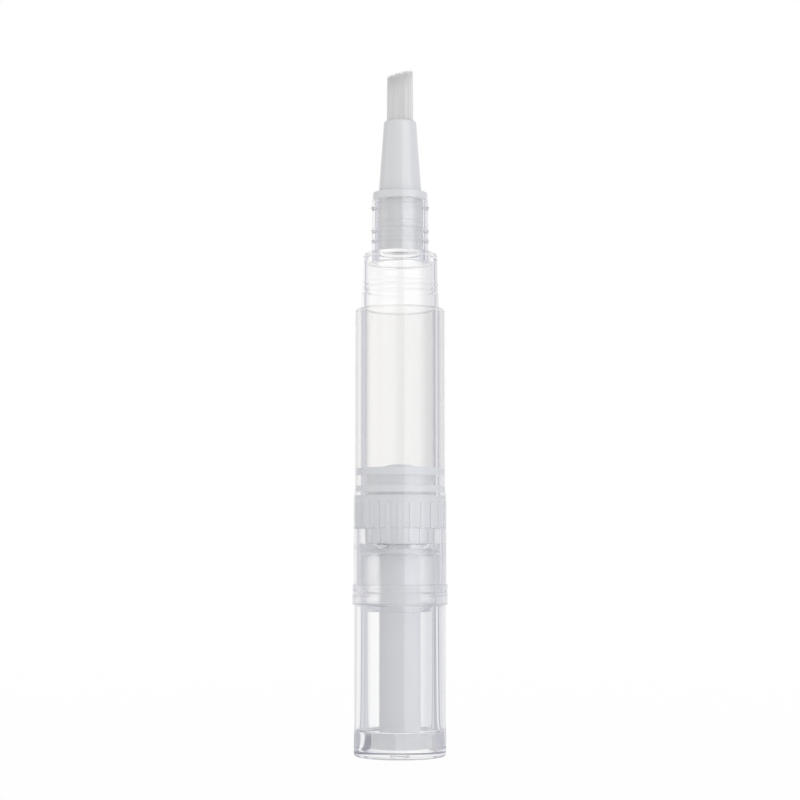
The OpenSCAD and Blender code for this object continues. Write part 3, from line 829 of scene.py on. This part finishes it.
# %% Light round the pen
# Degrees from the back, to the left below zero and to the right above, and the light there
WALL = [(-180, (0.86, 0.86, 0.87)), (-128, (0.8, 0.795, 0.79)), (-108, (1.05, 1.045, 1.04)),
        (-88, (1.05, 1.045, 1.04)), (-76, (0.62, 0.62, 0.65)), (-64, (0.62, 0.62, 0.66)),
        (-62, (0.6, 0.6, 0.66)), (-54, (0.6, 0.6, 0.66)), (-51, (0.7, 0.7, 0.74)),
        (-42, (0.74, 0.74, 0.78)), (-40, (0.5, 0.5, 0.57)), (-36, (0.5, 0.5, 0.57)),
        (-33, (0.95, 0.95, 0.96)), (-24, (1.03, 1.03, 1.02)), (-13, (1.07, 1.06, 1.04)),
        (-8, (1.03, 1.02, 1.01)), (-4, (0.97, 0.965, 0.96)), (3, (0.92, 0.92, 0.92)),
        (7, (0.87, 0.87, 0.875)), (15, (0.84, 0.84, 0.85)), (32, (0.8, 0.81, 0.84)),
        (34.5, (0.44, 0.44, 0.5)), (38.5, (0.44, 0.44, 0.5)), (41, (0.88, 0.88, 0.91)),
        (49, (0.88, 0.88, 0.91)), (52.5, (0.5, 0.5, 0.57)), (61, (0.5, 0.5, 0.57)),
        (66, (0.6, 0.62, 0.66)), (104, (0.7, 0.71, 0.74)), (127, (1.85, 1.88, 1.92)),
        (167, (1.92, 1.95, 1.99)), (170, (0.86, 0.86, 0.87))]

# The same for the floor under and close behind the knob, as seen through its solid foot; its dark bands
# are painted shade under the pen
FOOT = [(-180, (0.9, 0.9, 0.9)), (-140, (0.9, 0.9, 0.9)), (-131, (0.28, 0.28, 0.31)),
        (-104, (0.28, 0.28, 0.31)), (-96, (0.45, 0.45, 0.5)), (-82, (0.5, 0.5, 0.55)),
        (-78, (0.66, 0.66, 0.7)), (-68, (0.66, 0.66, 0.7)), (-63, (0.5, 0.5, 0.56)),
        (-38, (0.5, 0.5, 0.56)), (-32, (0.55, 0.55, 0.58)), (-18, (0.55, 0.55, 0.58)),
        (-12, (1.0, 1.0, 1.0)), (-2, (0.95, 0.95, 0.96)), (15, (0.85, 0.85, 0.87)),
        (22, (0.3, 0.3, 0.34)), (33, (0.3, 0.3, 0.34)), (36, (0.95, 0.95, 0.96)),
        (43, (0.95, 0.95, 0.96)), (47, (0.42, 0.42, 0.47)), (85, (0.42, 0.42, 0.47)),
        (95, (0.9, 0.9, 0.9))]


def light_group(name, table):
    """The light in a level direction, given as a vector from the pen, from a table of stops."""
    group = bpy.data.node_groups.new(name, "ShaderNodeTree")
    start, end = group_sockets(group, [("Direction", "NodeSocketVector", (0, 1, 0))],
                               [("Light", "NodeSocketColor")])
    split = group.nodes.new("ShaderNodeSeparateXYZ")
    link(group, start.outputs["Direction"], split.inputs[0])
    angle = math_node(group, "ARCTAN2", split.outputs["X"], split.outputs["Y"])
    ramp = group.nodes.new("ShaderNodeValToRGB")
    link(group, mapped(group, angle, -math.pi, math.pi, 0, 1), ramp.inputs["Fac"])
    stops = ramp.color_ramp.elements
    while len(stops) < len(table):
        stops.new(0.5)
    for stop, (degrees, colour) in zip(stops, table):
        stop.position = (degrees + 180) / 360
        stop.color = (*colour, 1)
    link(group, ramp.outputs["Color"], end.inputs["Light"])
    return group


ROUND_PEN = light_group("light_round_pen", WALL)
UNDER_FOOT = light_group("light_under_foot", FOOT)
print("the light round the pen has", len(WALL), "stops, and under its foot", len(FOOT))

# %% [markdown]
# The floor keeps the pen's faint shadow near it, and turns plain white further off, so that it
# runs into the white wall with no line between them. Light that lights the pen meets a matte
# floor, and only what is seen directly, in gloss or through the plastic meets the white one.
# Light that comes through the knob's solid foot meets the floor under the pen and close behind it. There
# the angle is taken from the knob's back instead of its axis, and the floor has bands of its own, dark
# ones of painted shade and bright ones, which give the foot the deep and bright edges of thick clear
# plastic. Where the knob's rounded rim meets the floor it lies in a narrow ring of painted shadow.

# %% Light on the floor
WHITE, BLACK = (1.0, 1.0, 1.0), (0.0, 0.0, 0.0)
KNOB_BACK, RIM_SHADE = 6.5 * MM, 0.3
FOOT_END, FOOT_GONE, CENTRE_FROM = 30 * MM, 50 * MM, 60 * MM
RIM_IN, RIM_OUT = (5.0 * MM, 5.5 * MM), (6.6 * MM, 7.2 * MM)


def light_from(tree, direction, group=ROUND_PEN):
    """The light round the pen in a direction, as a colour."""
    node = placed(tree, group)
    link(tree, direction, node.inputs["Direction"])
    return node.outputs["Light"]


def floor_light(tree, place, reach):
    """The floor's light, from the sockets of a place on it and its distance from the axis."""
    behind = tree.nodes.new("ShaderNodeCombineXYZ")
    link(tree, mapped(tree, reach, FOOT_END, CENTRE_FROM, KNOB_BACK, 0), behind.inputs["Y"])
    direction = tree.nodes.new("ShaderNodeVectorMath")
    direction.operation = "SUBTRACT"
    link(tree, place, direction.inputs[0])
    link(tree, behind.outputs[0], direction.inputs[1])
    away = mapped(tree, reach, FOOT_END, FOOT_GONE, 0, 1)
    level = mixed(tree, away, light_from(tree, direction.outputs[0], UNDER_FOOT),
                  light_from(tree, direction.outputs[0]))
    # A ring of painted shadow, mixed towards black, where the knob's rim meets the floor
    outside_rim = math_node(tree, "MAXIMUM", mapped(tree, reach, *RIM_IN, 1, RIM_SHADE),
                            mapped(tree, reach, *RIM_OUT, RIM_SHADE, 1))
    return mixed(tree, outside_rim, BLACK, level)


# %% Floor material
SHADOW_END, WHITE_FROM, NEAR_WHITENESS = 20 * MM, 300 * MM, 0.94
MATTE_GREY = (0.92, 0.92, 0.92)
out = tree.nodes.new("ShaderNodeOutputMaterial")
matte = tree.nodes.new("ShaderNodeBsdfDiffuse")
matte.inputs["Color"].default_value = (*MATTE_GREY, 1)
glow = tree.nodes.new("ShaderNodeEmission")
blend = tree.nodes.new("ShaderNodeMixShader")
path = tree.nodes.new("ShaderNodeLightPath")
place = tree.nodes.new("ShaderNodeTexCoord")
reach = tree.nodes.new("ShaderNodeVectorMath")
reach.operation = "LENGTH"
link(tree, place.outputs["Object"], reach.inputs[0])
whiteness = mapped(tree, reach.outputs["Value"], SHADOW_END, WHITE_FROM, NEAR_WHITENESS, 1)
level = floor_light(tree, place.outputs["Object"], reach.outputs["Value"])
link(tree, mixed(tree, path.outputs["Is Camera Ray"], level, WHITE), glow.inputs["Color"])
seen = math_node(tree, "MAXIMUM", path.outputs["Is Camera Ray"], path.outputs["Is Glossy Ray"])
seen = math_node(tree, "MAXIMUM", seen, path.outputs["Is Transmission Ray"])
link(tree, math_node(tree, "MULTIPLY", seen, whiteness), blend.inputs[0])
link(tree, matte.outputs[0], blend.inputs[1])
link(tree, glow.outputs[0], blend.inputs[2])
link(tree, blend.outputs[0], out.inputs[0])
floor.data.materials.append(floor_material)
print("the floor's material has", len(tree.nodes), "nodes")

# %% [markdown]
# The world is the wall. Seen in gloss or through the plastic it shows the same light as the floor,
# under a darker grey above, which draws the level edges of the clear pieces. The camera itself
# sees plain white. What lights the matte pieces is kept apart and even, a little brighter from the
# right, so that their colours come out as written from every side.

# %% World
OVERHEAD, WALL_TOP, ABOVE = (0.38, 0.38, 0.45), 0.4, 0.6
FROM_LEFT, FROM_RIGHT = (0.78, 0.775, 0.77), (1.04, 1.045, 1.05)
world = bpy.data.worlds.new("studio_world")
bpy.context.scene.world = world
world.use_nodes = True
tree = world.node_tree
tree.nodes.clear()
out = tree.nodes.new("ShaderNodeOutputWorld")
path = tree.nodes.new("ShaderNodeLightPath")
where = tree.nodes.new("ShaderNodeTexCoord")
split = tree.nodes.new("ShaderNodeSeparateXYZ")
link(tree, where.outputs["Generated"], split.inputs[0])
height = mapped(tree, split.outputs["Z"], WALL_TOP, ABOVE, 0, 1)
seen_light = mixed(tree, height, light_from(tree, where.outputs["Generated"]), OVERHEAD)
side = mapped(tree, split.outputs["X"], -1, 1, 0, 1)
even_light = mixed(tree, side, FROM_LEFT, FROM_RIGHT)
light = mixed(tree, path.outputs["Is Diffuse Ray"], seen_light, even_light)
wall = tree.nodes.new("ShaderNodeBackground")
link(tree, mixed(tree, path.outputs["Is Camera Ray"], light, WHITE), wall.inputs["Color"])
link(tree, wall.outputs[0], out.inputs[0])
print("the wall's material has", len(tree.nodes), "nodes")

# %% [markdown]
# One large soft lamp stands at the front right. It is wide, so that it makes no hard stripe on
# the gloss, and weak, because the wall already lights the pen from everywhere.

# %% Soft lamp
LAMP_SIZE, LAMP_POWER, LAMP_COLOUR = 0.8, 0.6, (0.94, 0.97, 1.0)
LAMP_AT, LAMP_AIM = Vector((0.6, -0.6, 0.4)), Vector((0, 0, 0.05))
lamp_data = bpy.data.lights.new("soft_lamp", "AREA")
lamp_data.shape = "RECTANGLE"
lamp_data.size, lamp_data.size_y = LAMP_SIZE, LAMP_SIZE
lamp_data.energy = LAMP_POWER
lamp_data.color = LAMP_COLOUR
lamp = bpy.data.objects.new("soft_lamp", lamp_data)
bpy.context.scene.collection.objects.link(lamp)
lamp.location = LAMP_AT
lamp.rotation_euler = (LAMP_AIM - LAMP_AT).to_track_quat("-Z", "Y").to_euler()
print("the lamp stands", round((LAMP_AIM - LAMP_AT).length, 2), "m away")
